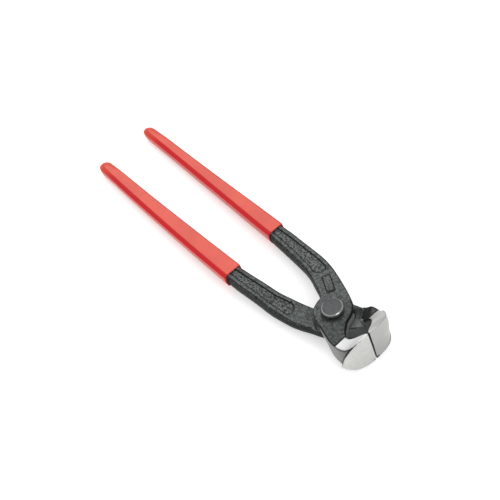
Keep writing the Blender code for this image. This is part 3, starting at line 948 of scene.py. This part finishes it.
def blacked_steel():
    """Blacked forging with ground jaw faces and a belt-rubbed outer side."""
    nodes = Nodes("blacked_steel")
    shader = nodes.shader
    mottle = nodes.noise(1.2, 4.0, 0.6)
    grain = nodes.noise(0.35, 2.0, 0.6)
    lines = nodes.noise(0.8, 3.0, 0.6, (1.0, 0.30, 1.0))
    upright = nodes.upright()
    rubbed = nodes.math("MULTIPLY", nodes.attribute("wear"), nodes.ramp(mottle, 0.40, 0.65))
    skin = forged_skin(nodes, mottle, grain, rubbed, upright)
    belt = nodes.mix(nodes.ramp(lines, 0.35, 0.65), (0.10, 0.10, 0.095), (0.18, 0.18, 0.17))
    linished = nodes.attribute("linished")
    skin = nodes.mix(linished, skin, belt)
    wander = nodes.ramp(mottle, 0.3, 0.7, -0.12, 0.12)
    edge = nodes.math("ADD", nodes.attribute("ground"), wander)
    # Painted shade: a dark line on the skin along the ground faces' edges, the slit, the pocket's
    # rims and the edge band
    painted_edge_shade = nodes.math("MAXIMUM", nodes.attribute("rim"), nodes.ramp(edge, -1.3, -0.7))
    skin = nodes.mix(nodes.math("MULTIPLY", painted_edge_shade, 0.9), skin, (0.004, 0.004, 0.004))
    ground = nodes.ramp(edge, -0.06, 0.06)
    steel = ground_steel(nodes, grain, lines, upright)
    nodes.link(nodes.mix(ground, skin, steel), shader.inputs["Base Color"])
    bare = nodes.math("MAXIMUM", ground, linished)
    metallic = nodes.math("MAXIMUM", bare, nodes.math("MULTIPLY", rubbed, 0.5))
    nodes.link(metallic, shader.inputs["Metallic"])
    forged = nodes.ramp(mottle, 0.3, 0.7, 0.48, 0.62)
    polished = nodes.mix_value(upright, 0.48, nodes.ramp(lines, 0.35, 0.65, 0.28, 0.36))
    nodes.link(nodes.mix_value(bare, forged, polished), shader.inputs["Roughness"])
    shader.inputs["Specular IOR Level"].default_value = 0.12
    fine = nodes.math("MULTIPLY", grain, 0.6)
    rough = nodes.math("ADD", fine, nodes.math("MULTIPLY", mottle, 1.2))
    height = nodes.mix_value(bare, rough, nodes.math("MULTIPLY", lines, 0.12))
    nodes.bump(height, 0.035)
    return nodes.material


def rivet_steel():
    """Blacked steel with a bright rim where the head is rubbed."""
    nodes = Nodes("rivet_steel")
    shader = nodes.shader
    mottle = nodes.noise(1.2, 3.0, 0.6)
    skin = nodes.mix(nodes.ramp(mottle, 0.3, 0.7), (0.032, 0.037, 0.040), (0.056, 0.062, 0.066))
    rim = nodes.attribute("wear")
    nodes.link(nodes.mix(rim, skin, (0.32, 0.32, 0.32)), shader.inputs["Base Color"])
    nodes.link(nodes.math("MULTIPLY", rim, 0.9), shader.inputs["Metallic"])
    nodes.link(nodes.mix_value(rim, 0.46, 0.25), shader.inputs["Roughness"])
    shader.inputs["Specular IOR Level"].default_value = 0.4
    nodes.bump(mottle, 0.03)
    return nodes.material


def red_vinyl():
    """Dipped red plastic, painted a deeper red along the rounded near edge and a little along the
    far edge, as painted shade.
    """
    nodes = Nodes("red_vinyl")
    shader = nodes.shader
    patches = nodes.noise(14.0, 2.0, 0.5)
    peel = nodes.noise(2.2, 2.0, 0.5)
    patches = nodes.ramp(patches, 0.3, 0.7)
    colour = nodes.mix(patches, (0.60, 0.052, 0.026), (0.67, 0.062, 0.032))
    # Painted shade: a deeper red where the shade band lies
    shade_band = nodes.math("MULTIPLY", nodes.attribute("shade_band"), 0.95)
    nodes.link(nodes.mix(shade_band, colour, (0.55, 0.001, 0.010)), shader.inputs["Base Color"])
    nodes.link(nodes.ramp(peel, 0.3, 0.7, 0.18, 0.25), shader.inputs["Roughness"])
    shader.inputs["Specular IOR Level"].default_value = 0.33
    nodes.bump(peel, 0.012)
    return nodes.material


def piece(name, mesh, material, body, node):
    """Puts a mesh in the scene as the shown form of one node."""
    mesh.materials.clear()
    mesh.materials.append(material)
    mesh.shade_smooth()
    mesh.set_sharp_from_angle(angle=SHARP_ANGLE)
    obj = bpy.data.objects.new(name, mesh)
    bpy.context.scene.collection.objects.link(obj)
    obj.location = PIVOT
    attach(obj, body)
    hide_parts(node)
    return obj


def floor_material():
    """A pale matt surface that the camera and reflections see as white where no shadow falls."""
    nodes = Nodes("pale_floor")
    nodes.shader.inputs["Base Color"].default_value = FLOOR_COLOUR
    nodes.shader.inputs["Roughness"].default_value = 0.6
    nodes.shader.inputs["Specular IOR Level"].default_value = 0.2
    path = nodes.tree.nodes.new("ShaderNodeLightPath")
    seen = nodes.math("MAXIMUM", path.outputs["Is Camera Ray"], path.outputs["Is Glossy Ray"])
    seen = nodes.math("MAXIMUM", seen, path.outputs["Is Transmission Ray"])
    nodes.shader.inputs["Emission Color"].default_value = WHITE
    glow = nodes.math("MULTIPLY", seen, FLOOR_GLOW)
    nodes.link(glow, nodes.shader.inputs["Emission Strength"])
    return nodes.material


def add_floor():
    """The floor, tilted a little so that the jaws and the grips' ends both rest on it."""
    tip_x, tip_z = TIP_REST
    slope = tip_z / (JAW_REST_X - tip_x)
    corners = []
    for x_side, y_side in ((-1, -1), (1, -1), (1, 1), (-1, 1)):
        x, y = x_side * FLOOR_HALF, y_side * FLOOR_HALF
        corners.append((x, y, (JAW_REST_X - x) * slope - FLOOR_GAP))
    mesh = bpy.data.meshes.new("floor")
    mesh.from_pydata(corners, [], [(0, 1, 2, 3)])
    mesh.materials.append(floor_material())
    floor = bpy.data.objects.new("floor", mesh)
    bpy.context.scene.collection.objects.link(floor)


def add_light(name, place, size, power):
    light = bpy.data.lights.new(name, "AREA")
    light.shape = "DISK"
    light.size = size
    light.energy = power
    obj = bpy.data.objects.new(name, light)
    obj.location = place
    obj.rotation_euler = (PIVOT - Vector(place)).to_track_quat("-Z", "Y").to_euler()
    bpy.context.scene.collection.objects.link(obj)


def add_world():
    world = bpy.data.worlds.new("studio")
    bpy.context.scene.world = world
    world.use_nodes = True
    background = world.node_tree.nodes["Background"]
    background.inputs["Color"].default_value = WHITE
    background.inputs["Strength"].default_value = WORLD_STRENGTH


def add_camera():
    """The camera of the photograph, as fitted to its outlines."""
    toward = CAMERA_TOWARD.normalized()
    up = toward.cross(CAMERA_RIGHT).normalized()
    right = up.cross(toward)
    camera = bpy.data.objects.new("camera", bpy.data.cameras.new("camera"))
    camera.data.sensor_width = 36.0
    camera.data.lens = CAMERA_LENS
    camera.data.clip_start = 0.05
    axes = Matrix((right, up, toward)).transposed().to_4x4()
    camera.matrix_world = Matrix.Translation(PIVOT + CAMERA_FROM_PIVOT) @ axes
    bpy.context.scene.collection.objects.link(camera)
    bpy.context.scene.camera = camera


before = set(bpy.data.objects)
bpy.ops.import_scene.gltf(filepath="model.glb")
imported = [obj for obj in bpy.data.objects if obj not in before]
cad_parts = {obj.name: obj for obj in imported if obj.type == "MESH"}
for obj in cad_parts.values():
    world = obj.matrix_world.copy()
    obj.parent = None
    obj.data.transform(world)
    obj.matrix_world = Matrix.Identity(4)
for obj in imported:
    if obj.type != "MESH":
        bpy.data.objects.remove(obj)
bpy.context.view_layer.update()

steel = blacked_steel()
vinyl = red_vinyl()
lever = lever_mesh(True)
add_lever_attributes(lever, -1)
piece("lower_forging", turned(lever), steel, "lower_half", "lower_lever")
lever = lever_mesh(False)
add_lever_attributes(lever, 1)
piece("upper_forging", lever, steel, "upper_half", "upper_lever")
piece("joint_rivet", rivet_mesh(), rivet_steel(), "upper_half", "pivot_rivet")
grip = grip_mesh(UPPER_GRIP_LENGTH, UPPER_GRIP_HALF, UPPER_GRIP_SHIFT, UPPER_GRIP_EXTRA, 1)
piece("upper_dipped_grip", grip, vinyl, "upper_half", "upper_grip")
grip = grip_mesh(LOWER_GRIP_LENGTH, LOWER_GRIP_HALF, LOWER_GRIP_SHIFT, LOWER_GRIP_EXTRA, -1)
piece("lower_dipped_grip", turned(grip), vinyl, "lower_half", "lower_grip")

add_floor()
add_world()
for light_row in LIGHTS:
    add_light(*light_row)
add_camera()
bpy.context.scene.view_settings.view_transform = "Standard"
